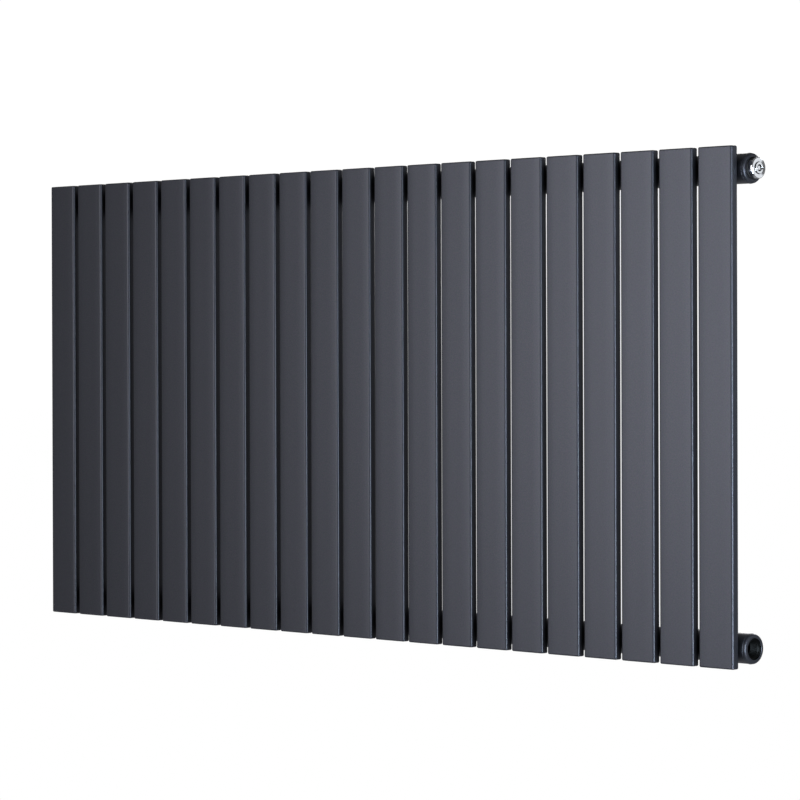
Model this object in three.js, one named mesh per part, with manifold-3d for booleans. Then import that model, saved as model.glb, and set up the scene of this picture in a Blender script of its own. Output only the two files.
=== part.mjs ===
// A horizontal flat-panel radiator: upright hollow steel panels welded to a top and a bottom header,
// an air vent and a blanking plug in the top ports, two open G1/2 ports below, and four wall brackets.
// Millimetres. +X runs along the radiator, +Y goes to the wall, +Z is up.
// The origin is on the wall, midway along the radiator and midway between the headers.
import * as THREE from "three";
import { mergeVertices } from "three/addons/utils/BufferGeometryUtils.js";
import Module from "manifold-3d";

const wasm = await Module();
wasm.setup();

// Gaps
const weldGap = 0.3; // between pieces that are welded or rest on each other
const fitGap = 0.3; // all round a piece that goes into a hole

// Panels
const panelCount = 21;
const panelWidth = 51;
const panelGap = 8; // between two panels
const panelDepth = 12;
const panelHeight = 600;
const panelWall = 1.5;
const panelCornerRadius = 4;
const panelEndRadius = 1.5;

// Headers
const headerDiameter = 35;
const headerWall = 1.5;
const headerTopInset = 25.5; // from the panels' top ends to the top header's axis
const headerBottomInset = 22.5; // from their bottom ends to the bottom header's axis
const headerToWall = 55; // from the axes to the wall
const headerToPanel = 0.5; // between a header's front and the panels' backs
const headerOverhang = 8; // of the end face past the outer panel
const spigotDiameter = 16; // the short water necks that go into the panels
const spigotWall = 1.5;

// End bushes with a G1/2 thread, bored to the thread's crests
const bushBore = 18.63;
const bushFlangeLength = 4.7;
const bushSpigotLength = 9;
const bushRimRadius = 2.5;
const bushRecessDepth = 2.5;
const bushMouthChamfer = 0.8;

// Air vent and blanking plug
const plugAcrossFlats = 22;
const plugHeadLength = 7;
const plugThreadLength = 9;
const plugCapDiameter = 24.8; // the round cap on the hexagon, whose corners are turned to it
const plugCapLength = 2.4;
const plugCapChamfer = 0.8;
const plugTurn = 18; // the hexagon's angle when screwed home, in degrees
const sealSection = 3; // the O-rings' thickness
const outletDiameter = 13.6; // the disc that turns to aim the bleed water
const outletLength = 4.5;
const outletNotchDiameter = 3.4; // the water's way out, at the disc's edge
const outletNotchReach = 6.3; // from the disc's middle to the notch's
const outletProud = 0.8;
const outletChamfer = 0.6;
const screwSquare = 5; // the bleed screw's drive
const screwPlay = 0.35; // between the drive's corners and the disc round it
const screwHeadLength = 3.6;
const screwStemDiameter = 4;
const screwStemLength = 9;

// Hanging points
const hangInset = 147.5; // from the outer panel's edge to a hanging point
const hangerHeight = 26; // of the lugs and of the brackets
const lugThickness = 4;
const lugRim = 2.7; // past the slot, on the wall side
const lugPlay = 1.5; // on each side of a lug, between a bracket's ears
const boltDiameter = 8;
const boltToHeader = 17.5; // from the bolt's axis to the header's back
const boltHeadAcrossFlats = 13;
const boltHeadLength = 5.3;
const boltTail = 2; // past the nut
const nutLength = 6.5;
const sleeveWall = 1.7;
const earThickness = 3;
const earToHeader = 3.5;
const earCornerRadius = 6;
const plateWidth = 58;
const plateThickness = 3;
const plateCornerRadius = 4;
const screwHoleDiameter = 6.5;
const screwHoleSpacing = 40;

// Facets round a full circle
const headerSides = 20;
const spigotSides = 8;
const turnedSides = 20;
const smallSides = 10;

// Worked out from the sizes above
const panelPitch = panelWidth + panelGap;
const radiatorWidth = (panelCount - 1) * panelPitch + panelWidth;
const headerSpacing = panelHeight - headerTopInset - headerBottomInset;
const headerRadius = headerDiameter / 2;
const headerHalfLength = radiatorWidth / 2 + headerOverhang;
const tubeHalfLength = headerHalfLength - bushFlangeLength - weldGap;
const headerY = -headerToWall;
const panelY = headerY - headerRadius - headerToPanel - panelDepth / 2;
const panelZ = (headerTopInset - headerBottomInset) / 2;
const bushRecessRadius = bushBore / 2 + sealSection + fitGap;
const bushRim = Math.min(bushRimRadius, (headerRadius - bushRecessRadius) / 2);
const boltToWall = headerToWall - headerRadius - boltToHeader;
const boltY = -boltToWall;
const hangX = radiatorWidth / 2 - hangInset;
const earGap = lugThickness + 2 * lugPlay;
const boltHoleDiameter = boltDiameter + 2 * fitGap;
const sleeveDiameter = boltHoleDiameter + 2 * sleeveWall;
const sealX = -bushRecessDepth + fitGap + sealSection / 2;
const plugSeatX = sealX + sealSection / 2 + fitGap;
const plugFaceX = plugSeatX + plugHeadLength;
const outletPocketX = plugFaceX + outletProud - outletLength - fitGap;
const outletEyeRadius = screwSquare / Math.SQRT2 + screwPlay;
const stemBore = screwStemDiameter + 2 * fitGap;

// Materials
const paint = { color: 0x4b4d55, roughness: 0.45, metalness: 0.5 };
const chrome = { color: 0xe4e6ea, roughness: 0.08, metalness: 1 };
const zincPlate = { color: 0xb4b8bd, roughness: 0.35, metalness: 0.9 };
const nylon = { color: 0x2a2b2d, roughness: 0.55, metalness: 0 };
const rubber = { color: 0x121213, roughness: 0.7, metalness: 0 };

// A closed geometry as a solid that can be joined and cut
function solid(geometry) {
  const bare = geometry.index ? geometry.toNonIndexed() : geometry.clone();
  bare.deleteAttribute("normal");
  bare.deleteAttribute("uv");
  const merged = mergeVertices(bare, 1e-4);
  return new wasm.Manifold(
    new wasm.Mesh({
      numProp: 3,
      vertProperties: merged.attributes.position.array,
      triVerts: new Uint32Array(merged.index.array),
    }),
  );
}

// A joined or cut solid as a geometry again
function geometryOf(made) {
  const mesh = made.getMesh();
  const geometry = new THREE.BufferGeometry();
  geometry.setAttribute("position", new THREE.BufferAttribute(mesh.vertProperties, 3));
  geometry.setIndex(new THREE.BufferAttribute(mesh.triVerts, 1));
  return geometry;
}

// A rod of the given diameter along X, from one x to another
function rodX(diameter, from, to, sides) {
  const rod = new THREE.CylinderGeometry(diameter / 2, diameter / 2, to - from, sides);
  rod.rotateZ(-Math.PI / 2);
  rod.translate((from + to) / 2, 0, 0);
  return rod;
}

// A rod along Y, from one y to another
function rodY(diameter, from, to, sides) {
  const rod = new THREE.CylinderGeometry(diameter / 2, diameter / 2, to - from, sides);
  rod.translate(0, (from + to) / 2, 0);
  return rod;
}

// A hexagonal bar along X, turned by an angle in degrees about its axis
function hexagonX(acrossFlats, from, to, angle) {
  const bar = rodX((2 * acrossFlats) / Math.sqrt(3), from, to, 6);
  bar.rotateX(THREE.MathUtils.degToRad(angle));
  return bar;
}

// A shape turned about X. Each point is [x, radius], and the list goes round with the solid on its left.
function turned(points, sides) {
  const profile = points.map(([x, radius]) => new THREE.Vector2(radius, x)).reverse();
  const geometry = new THREE.LatheGeometry(profile, sides);
  geometry.rotateZ(-Math.PI / 2);
  return geometry;
}

// Points of a round corner in a turned shape, about [x, radius], between two angles in degrees from +X
function arc(x, radius, size, from, to, steps) {
  return Array.from({ length: steps + 1 }, (_, i) => {
    const angle = THREE.MathUtils.degToRad(from + ((to - from) * i) / steps);
    return [x + size * Math.cos(angle), radius + size * Math.sin(angle)];
  });
}

// A rectangle about the origin with round corners
function roundedRectangle(width, height, radius) {
  const x = width / 2;
  const y = height / 2;
  const shape = new THREE.Shape();
  shape.moveTo(-x + radius, -y);
  shape.lineTo(x - radius, -y);
  shape.absarc(x - radius, -y + radius, radius, -Math.PI / 2, 0);
  shape.absarc(x - radius, y - radius, radius, 0, Math.PI / 2);
  shape.absarc(-x + radius, y - radius, radius, Math.PI / 2, Math.PI);
  shape.absarc(-x + radius, -y + radius, radius, Math.PI, Math.PI * 1.5);
  return shape;
}

// A plate cut to a shape drawn with its x towards the wall and its y up, centred on X
function uprightPlate(shape, thickness, curveSegments) {
  const plate = new THREE.ExtrudeGeometry(shape, {
    depth: thickness,
    bevelEnabled: false,
    curveSegments,
  });
  plate.translate(0, 0, -thickness / 2);
  const toWall = new THREE.Vector3(0, 1, 0);
  const up = new THREE.Vector3(0, 0, 1);
  const along = new THREE.Vector3(1, 0, 0);
  return plate.applyMatrix4(new THREE.Matrix4().makeBasis(toWall, up, along));
}

// One upright panel about its own middle: a flat tube with closed ends and two ports in its back wall
function panelGeometry() {
  const outline = roundedRectangle(panelWidth, panelDepth, panelCornerRadius);
  const shell = new THREE.ExtrudeGeometry(outline, {
    depth: panelHeight - 2 * panelEndRadius,
    bevelThickness: panelEndRadius,
    bevelSize: panelEndRadius,
    bevelOffset: -panelEndRadius,
    bevelSegments: 1,
    curveSegments: 2,
  });
  shell.translate(0, 0, -panelHeight / 2 + panelEndRadius);
  const innerHeight = panelHeight - 2 * panelWall;
  const waterway = new THREE.ExtrudeGeometry(
    roundedRectangle(
      panelWidth - 2 * panelWall,
      panelDepth - 2 * panelWall,
      panelCornerRadius - panelWall / 2,
    ),
    { depth: innerHeight, bevelEnabled: false, curveSegments: 1 },
  );
  waterway.translate(0, 0, -innerHeight / 2);
  let panel = solid(shell).subtract(solid(waterway));
  for (const side of [-1, 1]) {
    const port = rodY(spigotDiameter + 2 * fitGap, 0, panelDepth, spigotSides);
    port.translate(0, 0, (side * headerSpacing) / 2 - panelZ);
    panel = panel.subtract(solid(port));
  }
  return geometryOf(panel);
}

// A header about its own middle: a round tube with a water neck into each panel
function headerGeometry() {
  const neckReach = headerRadius + headerToPanel + panelWall;
  let outside = solid(rodX(headerDiameter, -tubeHalfLength, tubeHalfLength, headerSides));
  let inside = solid(
    rodX(headerDiameter - 2 * headerWall, -tubeHalfLength - 1, tubeHalfLength + 1, headerSides),
  );
  for (let i = 0; i < panelCount; i += 1) {
    const neck = rodY(spigotDiameter, -neckReach, 0, spigotSides);
    const bore = rodY(spigotDiameter - 2 * spigotWall, -neckReach - 1, 0, spigotSides);
    neck.translate(panelX(i), 0, 0);
    bore.translate(panelX(i), 0, 0);
    outside = outside.add(solid(neck));
    inside = inside.add(solid(bore));
  }
  return geometryOf(outside.subtract(inside));
}

// An end bush along +X with its outer face at x = 0
function bushGeometry() {
  const innerX = -bushFlangeLength - bushSpigotLength;
  const spigotRadius = headerRadius - headerWall - fitGap;
  const boreRadius = bushBore / 2;
  return turned(
    [
      [innerX, boreRadius],
      [-bushRecessDepth - bushMouthChamfer, boreRadius],
      [-bushRecessDepth, boreRadius + bushMouthChamfer],
      [-bushRecessDepth, bushRecessRadius],
      [0, bushRecessRadius],
      ...arc(-bushRim, headerRadius - bushRim, bushRim, 0, 90, 2),
      [-bushFlangeLength, headerRadius],
      [-bushFlangeLength, spigotRadius],
      [innerX, spigotRadius],
      [innerX, boreRadius],
    ],
    turnedSides,
  );
}

// The head and shank that the vent and the blanking plug share, in a bush's own frame
function plugBlank() {
  const shankRadius = bushBore / 2 - fitGap;
  const capRadius = plugCapDiameter / 2;
  const capX = plugFaceX - plugCapLength;
  const hexagon = solid(hexagonX(plugAcrossFlats, plugSeatX, capX + 1, plugTurn));
  const corners = solid(rodX(plugCapDiameter, plugSeatX, capX + 1, turnedSides));
  const cap = solid(
    turned(
      [
        [capX, 0],
        [plugFaceX, 0],
        [plugFaceX, capRadius - plugCapChamfer],
        [plugFaceX - plugCapChamfer, capRadius],
        [capX, capRadius],
        [capX, 0],
      ],
      turnedSides,
    ),
  );
  const shankEnd = -bushRecessDepth - plugThreadLength;
  const shank = solid(rodX(2 * shankRadius, shankEnd, plugSeatX + 1, turnedSides));
  return hexagon.intersect(corners).add(cap).add(shank);
}

// The air vent's body: the plug with a pocket for the outlet disc and a bore for the bleed screw
function ventBodyGeometry() {
  const pocket = solid(
    rodX(outletDiameter + 2 * fitGap, outletPocketX, plugFaceX + 1, turnedSides),
  );
  const bore = solid(
    rodX(stemBore, -bushRecessDepth - plugThreadLength - 1, plugFaceX, smallSides),
  );
  return geometryOf(plugBlank().subtract(pocket).subtract(bore));
}

// The outlet disc with the notch that lets the water out, in a bush's own frame
function outletDiscGeometry() {
  const backX = outletPocketX + fitGap;
  const frontX = backX + outletLength;
  const radius = outletDiameter / 2;
  const disc = solid(
    turned(
      [
        [backX, outletEyeRadius],
        [frontX, outletEyeRadius],
        [frontX, radius - outletChamfer],
        [frontX - outletChamfer, radius],
        [backX, radius],
        [backX, outletEyeRadius],
      ],
      turnedSides,
    ),
  );
  const notch = rodX(outletNotchDiameter, backX - 1, frontX + 1, turnedSides);
  notch.translate(0, outletNotchReach, 0);
  return geometryOf(disc.subtract(solid(notch)));
}

// The bleed screw: a square drive on a stem that seats in the vent's bore, in a bush's own frame
function bleedScrewGeometry() {
  const headX = outletPocketX + fitGap;
  const square = new THREE.BoxGeometry(screwHeadLength, screwSquare, screwSquare);
  square.translate(headX + screwHeadLength / 2, 0, 0);
  const stem = rodX(screwStemDiameter, headX - screwStemLength, headX + 1, smallSides);
  return geometryOf(solid(square).add(solid(stem)));
}

// The blanking plug: the same plug, left solid
function blankingPlugGeometry() {
  return geometryOf(plugBlank());
}

// An O-ring under a plug's head, in a bush's own frame
function sealGeometry() {
  const ringRadius = (bushBore + sealSection) / 2;
  return turned(arc(sealX, ringRadius, sealSection / 2, 0, 360, 6), turnedSides);
}

// A lug that hangs on a bolt by a slot open below, drawn from the header's axis
function lugGeometry() {
  const seatRadius = headerRadius + weldGap;
  const half = hangerHeight / 2;
  const seatAngle = Math.asin(half / seatRadius);
  const slotRadius = sleeveDiameter / 2 + fitGap;
  const slotX = headerToWall - boltToWall;
  const endX = slotX + slotRadius + lugRim;
  const shape = new THREE.Shape();
  shape.absarc(0, 0, seatRadius, seatAngle, -seatAngle, true);
  shape.lineTo(slotX - slotRadius, -half);
  shape.absarc(slotX, 0, slotRadius, Math.PI, 0, true);
  shape.lineTo(slotX + slotRadius, -half);
  shape.lineTo(endX, -half);
  shape.lineTo(endX, half);
  shape.closePath();
  return uprightPlate(shape, lugThickness, 6);
}

// A bracket ear's outline about the bolt's axis, square at the wall and round in front
function earOutline() {
  const frontX = boltToWall - headerToWall + headerRadius + earToHeader;
  const backX = boltToWall - plateThickness / 2;
  const half = hangerHeight / 2;
  const shape = new THREE.Shape();
  shape.moveTo(backX, half);
  shape.lineTo(frontX + earCornerRadius, half);
  shape.absarc(frontX + earCornerRadius, half - earCornerRadius, earCornerRadius, Math.PI / 2, Math.PI);
  shape.absarc(
    frontX + earCornerRadius,
    earCornerRadius - half,
    earCornerRadius,
    Math.PI,
    Math.PI * 1.5,
  );
  shape.lineTo(backX, -half);
  shape.closePath();
  return shape;
}

// A wall bracket about its bolt's axis: a plate on the wall with two holes, and two ears
function bracketGeometry() {
  const backY = boltToWall;
  const plate = new THREE.ExtrudeGeometry(
    roundedRectangle(plateWidth, hangerHeight, plateCornerRadius),
    { depth: plateThickness, bevelEnabled: false, curveSegments: 2 },
  );
  plate.rotateX(Math.PI / 2);
  plate.translate(0, backY, 0);
  let bracket = solid(plate);
  const earX = (earGap + earThickness) / 2;
  for (const side of [-1, 1]) {
    const ear = uprightPlate(earOutline(), earThickness, 2);
    ear.translate(side * earX, 0, 0);
    bracket = bracket.add(solid(ear));
    const screwHole = rodY(screwHoleDiameter, backY - plateThickness - 1, backY + 1, smallSides);
    screwHole.translate((side * screwHoleSpacing) / 2, 0, 0);
    bracket = bracket.subtract(solid(screwHole));
  }
  const boltHole = rodX(boltHoleDiameter, -plateWidth, plateWidth, smallSides);
  return geometryOf(bracket.subtract(solid(boltHole)));
}

// The bolt through a bracket's ears, about the middle of the gap between them
function boltGeometry() {
  const earFace = earGap / 2 + earThickness;
  const headX = earFace + weldGap;
  const tailX = -earFace - 2 * weldGap - nutLength - boltTail;
  const head = hexagonX(boltHeadAcrossFlats, headX, headX + boltHeadLength, 0);
  const shank = rodX(boltDiameter, tailX, headX + 1, smallSides);
  return geometryOf(solid(head).add(solid(shank)));
}

// The nut on that bolt
function nutGeometry() {
  const faceX = -earGap / 2 - earThickness - weldGap;
  const nut = solid(hexagonX(boltHeadAcrossFlats, faceX - nutLength, faceX, 0));
  const bore = rodX(boltHoleDiameter, faceX - nutLength - 1, faceX + 1, smallSides);
  return geometryOf(nut.subtract(solid(bore)));
}

// The nylon sleeve on the bolt, which the lug's slot rests on
function sleeveGeometry() {
  const half = earGap / 2 - fitGap;
  const sleeve = solid(rodX(sleeveDiameter, -half, half, 16));
  const bore = rodX(boltHoleDiameter, -half - 1, half + 1, smallSides);
  return geometryOf(sleeve.subtract(solid(bore)));
}

// A panel's place along the radiator
function panelX(index) {
  return (index - (panelCount - 1) / 2) * panelPitch;
}

// Adds a named mesh to a group
function addMesh(group, name, geometry, finish, x = 0, y = 0, z = 0) {
  const mesh = new THREE.Mesh(geometry, new THREE.MeshStandardMaterial(finish));
  mesh.name = name;
  mesh.position.set(x, y, z);
  group.add(mesh);
  return mesh;
}

const radiator = new THREE.Group();

const panel = panelGeometry();
for (let i = 0; i < panelCount; i += 1) {
  const name = `panel_${String(i + 1).padStart(2, "0")}`;
  addMesh(radiator, name, panel, paint, panelX(i), panelY, panelZ);
}

const header = headerGeometry();
const bush = bushGeometry();
const lug = lugGeometry();
const bracket = bracketGeometry();
const bolt = boltGeometry();
const nut = nutGeometry();
const sleeve = sleeveGeometry();
for (const [level, z] of [["top", headerSpacing / 2], ["bottom", -headerSpacing / 2]]) {
  addMesh(radiator, `header_${level}`, header, paint, 0, headerY, z);
  for (const [hand, side] of [["left", -1], ["right", 1]]) {
    const place = `${level}_${hand}`;
    const end = new THREE.Group();
    end.position.set(side * headerHalfLength, headerY, z);
    end.rotation.z = side < 0 ? Math.PI : 0;
    radiator.add(end);
    addMesh(end, `port_bush_${place}`, bush, paint);
    if (place === "top_right") {
      addMesh(end, "vent_body", ventBodyGeometry(), chrome);
      addMesh(end, "vent_outlet_disc", outletDiscGeometry(), chrome);
      addMesh(end, "bleed_screw", bleedScrewGeometry(), chrome);
      addMesh(end, "vent_seal", sealGeometry(), rubber);
    }
    if (place === "top_left") {
      addMesh(end, "blanking_plug", blankingPlugGeometry(), chrome);
      addMesh(end, "blanking_plug_seal", sealGeometry(), rubber);
    }
    addMesh(radiator, `hanging_lug_${place}`, lug, paint, side * hangX, headerY, z);
    addMesh(radiator, `wall_bracket_${place}`, bracket, paint, side * hangX, boltY, z);
    addMesh(radiator, `bracket_bolt_${place}`, bolt, zincPlate, side * hangX, boltY, z);
    addMesh(radiator, `bracket_nut_${place}`, nut, zincPlate, side * hangX, boltY, z);
    addMesh(radiator, `bracket_sleeve_${place}`, sleeve, nylon, side * hangX, boltY, z);
  }
}

export default radiator;
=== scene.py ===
import math

import bmesh
import bpy
from mathutils import Matrix, Vector, noise


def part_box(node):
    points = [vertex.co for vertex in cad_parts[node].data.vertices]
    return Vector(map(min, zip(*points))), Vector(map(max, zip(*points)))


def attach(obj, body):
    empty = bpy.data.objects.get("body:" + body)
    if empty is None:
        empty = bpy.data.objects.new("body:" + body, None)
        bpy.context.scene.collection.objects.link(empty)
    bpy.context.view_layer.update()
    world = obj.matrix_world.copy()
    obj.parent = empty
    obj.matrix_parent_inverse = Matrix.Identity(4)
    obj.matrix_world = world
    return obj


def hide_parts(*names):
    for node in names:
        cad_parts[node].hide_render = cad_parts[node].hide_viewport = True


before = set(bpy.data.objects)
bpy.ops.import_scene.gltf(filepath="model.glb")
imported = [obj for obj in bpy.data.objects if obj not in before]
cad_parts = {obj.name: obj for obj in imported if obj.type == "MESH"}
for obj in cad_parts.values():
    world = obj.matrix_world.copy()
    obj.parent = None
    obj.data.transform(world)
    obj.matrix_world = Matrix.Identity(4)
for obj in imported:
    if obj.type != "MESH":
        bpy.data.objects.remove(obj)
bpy.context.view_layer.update()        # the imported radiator: bodies, nodes, joints, record
scene = bpy.context.scene
print("frame loaded:", len(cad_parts), "nodes")

mm = 0.001
places = ["top_left", "top_right", "bottom_left", "bottom_right"]


def hexToLinear(code):
    channels = [int(code[i:i + 2], 16) / 255 for i in (1, 3, 5)]
    linear = [c / 12.92 if c <= 0.04045 else ((c + 0.055) / 1.055) ** 2.4 for c in channels]
    return (*linear, 1.0)


def addNode(tree, kind, settings=None, **inputs):
    # an input is a value, or another node's output socket to link
    node = tree.nodes.new(kind)
    for key, value in (settings or {}).items():
        setattr(node, key, value)
    for key, value in inputs.items():
        name = key.replace("_", " ")
        socket = node.inputs[int(key[1:])] if key[0] == "n" and key[1:].isdigit() else node.inputs[name]
        if isinstance(value, bpy.types.NodeSocket):
            tree.links.new(value, socket)
        else:
            socket.default_value = value
    return node


def newMaterial(name):
    material = bpy.data.materials.new(name)
    material.use_nodes = True
    tree = material.node_tree
    tree.nodes.clear()
    shader = tree.nodes.new("ShaderNodeBsdfPrincipled")
    output = tree.nodes.new("ShaderNodeOutputMaterial")
    tree.links.new(shader.outputs["BSDF"], output.inputs["Surface"])
    place = tree.nodes.new("ShaderNodeTexCoord").outputs["Object"]
    return material, tree, shader, place


def perMetre(sizeMm):
    # a noise texture's scale for a pattern with this size in millimetres
    return 1 / (sizeMm * mm)


def paintCreviceShade(tree, colour, reachMm, depth):
    # painted shade: narrow gaps and recesses are darkened by ambient occlusion, where shade falls, and the
    # darkening fades out over reachMm
    gap = addNode(tree, "ShaderNodeAmbientOcclusion", {"samples": 8}, Distance=reachMm * mm)
    share = addNode(tree, "ShaderNodeMapRange", Value=gap.outputs["AO"], From_Min=0.1, From_Max=0.9,
                    To_Min=1 - depth, To_Max=1.0)
    return addNode(tree, "ShaderNodeMix", {"data_type": "RGBA", "blend_type": "MULTIPLY"},
                   n0=1.0, n6=colour, n7=share.outputs["Result"]).outputs[2]


powderCoatSpec = {
    "dark": "#3e4047", "light": "#4a4b55",
    "metallic": 0.75, "roughness": 0.4,
    "grainMm": 1.6, "speckMm": 0.9, "peelMm": 2.6, "peelDepthMm": 0.02,
    "coat": 0.12, "coatRoughness": 0.35, "creviceShadeMm": 20, "creviceShadeDepth": 0.9,
}


def makePowderCoat(spec):
    # polyester powder coat with aluminium flake, sprayed and baked: a satin anthracite with a sandy glitter
    # the real flake is about 0.05 mm, too fine to show, so its clusters are drawn at 1 to 2 mm
    material, tree, shader, place = newMaterial("anthraciteFlakePowderCoat")
    grain = addNode(tree, "ShaderNodeTexNoise", Vector=place, Scale=perMetre(spec["grainMm"]),
                    Detail=4.0, Roughness=0.7)
    speck = addNode(tree, "ShaderNodeTexVoronoi", Vector=place, Scale=perMetre(spec["speckMm"]))
    flakes = addNode(tree, "ShaderNodeMix", {"data_type": "RGBA", "blend_type": "MIX"},
                     n0=0.12, n6=grain.outputs["Color"], n7=speck.outputs["Color"])
    level = addNode(tree, "ShaderNodeMapRange", Value=grain.outputs["Fac"],
                    From_Min=0.3, From_Max=0.7, To_Min=0.0, To_Max=1.0)
    base = addNode(tree, "ShaderNodeMix", {"data_type": "RGBA", "blend_type": "MIX"},
                   n0=level.outputs["Result"], n6=hexToLinear(spec["dark"]), n7=hexToLinear(spec["light"]))
    tinted = addNode(tree, "ShaderNodeMix", {"data_type": "RGBA", "blend_type": "SOFT_LIGHT"},
                     n0=0.35, n6=base.outputs[2], n7=flakes.outputs[2])
    # painted shade: the coat's colour is darkened in the gaps between panels and in recesses
    creviceShaded = paintCreviceShade(tree, tinted.outputs[2], spec["creviceShadeMm"], spec["creviceShadeDepth"])
    tree.links.new(creviceShaded, shader.inputs["Base Color"])
    gloss = addNode(tree, "ShaderNodeMapRange", Value=grain.outputs["Fac"], From_Min=0.3, From_Max=0.7,
                    To_Min=spec["roughness"] - 0.03, To_Max=spec["roughness"] + 0.03)
    tree.links.new(gloss.outputs["Result"], shader.inputs["Roughness"])
    peel = addNode(tree, "ShaderNodeTexNoise", Vector=place, Scale=perMetre(spec["peelMm"]),
                   Detail=2.0, Roughness=0.5)
    bump = addNode(tree, "ShaderNodeBump", Strength=0.25, Distance=spec["peelDepthMm"] * mm,
                   Height=peel.outputs["Fac"])
    tree.links.new(bump.outputs["Normal"], shader.inputs["Normal"])
    shader.inputs["Metallic"].default_value = spec["metallic"]
    shader.inputs["Coat Weight"].default_value = spec["coat"]
    shader.inputs["Coat Roughness"].default_value = spec["coatRoughness"]
    return material


chromeSpec = {"bright": "#e6e7ea", "shade": "#d2d4d9", "roughness": 0.07, "hazeMm": 3.0, "lineMm": 0.25,
              "creviceShadeMm": 5, "creviceShadeDepth": 0.95}


def makeChromedBrass(spec):
    # brass turned on a lathe, polished and chrome plated: a bright mirror with faint marks and haze
    # polishing marks are a few hundredths of a millimetre wide, so they are drawn at 0.25 mm
    material, tree, shader, place = newMaterial("chromePlatedBrass")
    haze = addNode(tree, "ShaderNodeTexNoise", Vector=place, Scale=perMetre(spec["hazeMm"]), Detail=3.0)
    tone = addNode(tree, "ShaderNodeMix", {"data_type": "RGBA", "blend_type": "MIX"},
                   n0=haze.outputs["Fac"], n6=hexToLinear(spec["bright"]), n7=hexToLinear(spec["shade"]))
    # painted shade: the chrome's colour is darkened in its recesses
    creviceShaded = paintCreviceShade(tree, tone.outputs[2], spec["creviceShadeMm"], spec["creviceShadeDepth"])
    tree.links.new(creviceShaded, shader.inputs["Base Color"])
    gloss = addNode(tree, "ShaderNodeMapRange", Value=haze.outputs["Fac"],
                    To_Min=spec["roughness"] - 0.02, To_Max=spec["roughness"] + 0.04)
    tree.links.new(gloss.outputs["Result"], shader.inputs["Roughness"])
    lines = addNode(tree, "ShaderNodeTexNoise", Vector=place, Scale=perMetre(spec["lineMm"]), Detail=1.0)
    bump = addNode(tree, "ShaderNodeBump", Strength=0.15, Distance=0.003 * mm, Height=lines.outputs["Fac"])
    tree.links.new(bump.outputs["Normal"], shader.inputs["Normal"])
    shader.inputs["Metallic"].default_value = 1.0
    return material


boreShadeSteelSpec = {"dark": "#18191a", "worn": "#2a2b2c", "roughness": 0.5, "grainMm": 0.8}


def makeBoreShadeSteel(spec):
    # a steel thread and its seal's seat, masked from the powder, phosphated and oiled: near black and dull,
    # dark enough that it also paints the shade inside the bore
    # the phosphate's crystals are far too fine to show, so they are drawn at 0.8 mm
    material, tree, shader, place = newMaterial("phosphatedThreadPaintedShade")
    grain = addNode(tree, "ShaderNodeTexNoise", Vector=place, Scale=perMetre(spec["grainMm"]), Detail=3.0)
    tone = addNode(tree, "ShaderNodeMix", {"data_type": "RGBA", "blend_type": "MIX"},
                   n0=grain.outputs["Fac"], n6=hexToLinear(spec["dark"]), n7=hexToLinear(spec["worn"]))
    tree.links.new(tone.outputs[2], shader.inputs["Base Color"])
    gloss = addNode(tree, "ShaderNodeMapRange", Value=grain.outputs["Fac"],
                    To_Min=spec["roughness"] - 0.06, To_Max=spec["roughness"] + 0.06)
    tree.links.new(gloss.outputs["Result"], shader.inputs["Roughness"])
    shader.inputs["Metallic"].default_value = 1.0
    return material


zincSpec = {
    "bright": "#c3c7cb", "dull": "#9ea3a8", "roughness": 0.34,
    "spangleMm": 1.1, "cloudMm": 4.4, "scratchMm": 0.4,
}


def makeZincPlate(spec):
    # cold-headed steel, zinc plated and passivated: a cool grey sheen with small bright and dull spots
    # electroplated zinc is finer than this, so its spots are drawn at about 1 mm
    material, tree, shader, place = newMaterial("zincPlatedSteel")
    spots = addNode(tree, "ShaderNodeTexVoronoi", Vector=place, Scale=perMetre(spec["spangleMm"]))
    cloud = addNode(tree, "ShaderNodeTexNoise", Vector=place, Scale=perMetre(spec["cloudMm"]), Detail=4.0)
    tone = addNode(tree, "ShaderNodeMix", {"data_type": "RGBA", "blend_type": "MIX"},
                   n0=cloud.outputs["Fac"], n6=hexToLinear(spec["bright"]), n7=hexToLinear(spec["dull"]))
    tree.links.new(tone.outputs[2], shader.inputs["Base Color"])
    gloss = addNode(tree, "ShaderNodeMapRange", Value=spots.outputs["Distance"],
                    To_Min=spec["roughness"] - 0.08, To_Max=spec["roughness"] + 0.12)
    tree.links.new(gloss.outputs["Result"], shader.inputs["Roughness"])
    marks = addNode(tree, "ShaderNodeTexNoise", Vector=place, Scale=perMetre(spec["scratchMm"]), Detail=5.0)
    bump = addNode(tree, "ShaderNodeBump", Strength=0.3, Distance=0.02 * mm, Height=marks.outputs["Fac"])
    tree.links.new(bump.outputs["Normal"], shader.inputs["Normal"])
    shader.inputs["Metallic"].default_value = 1.0
    return material


nylonSpec = {"dark": "#1d1d1f", "light": "#2a2a2d", "roughness": 0.5, "pebbleMm": 0.6}


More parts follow.
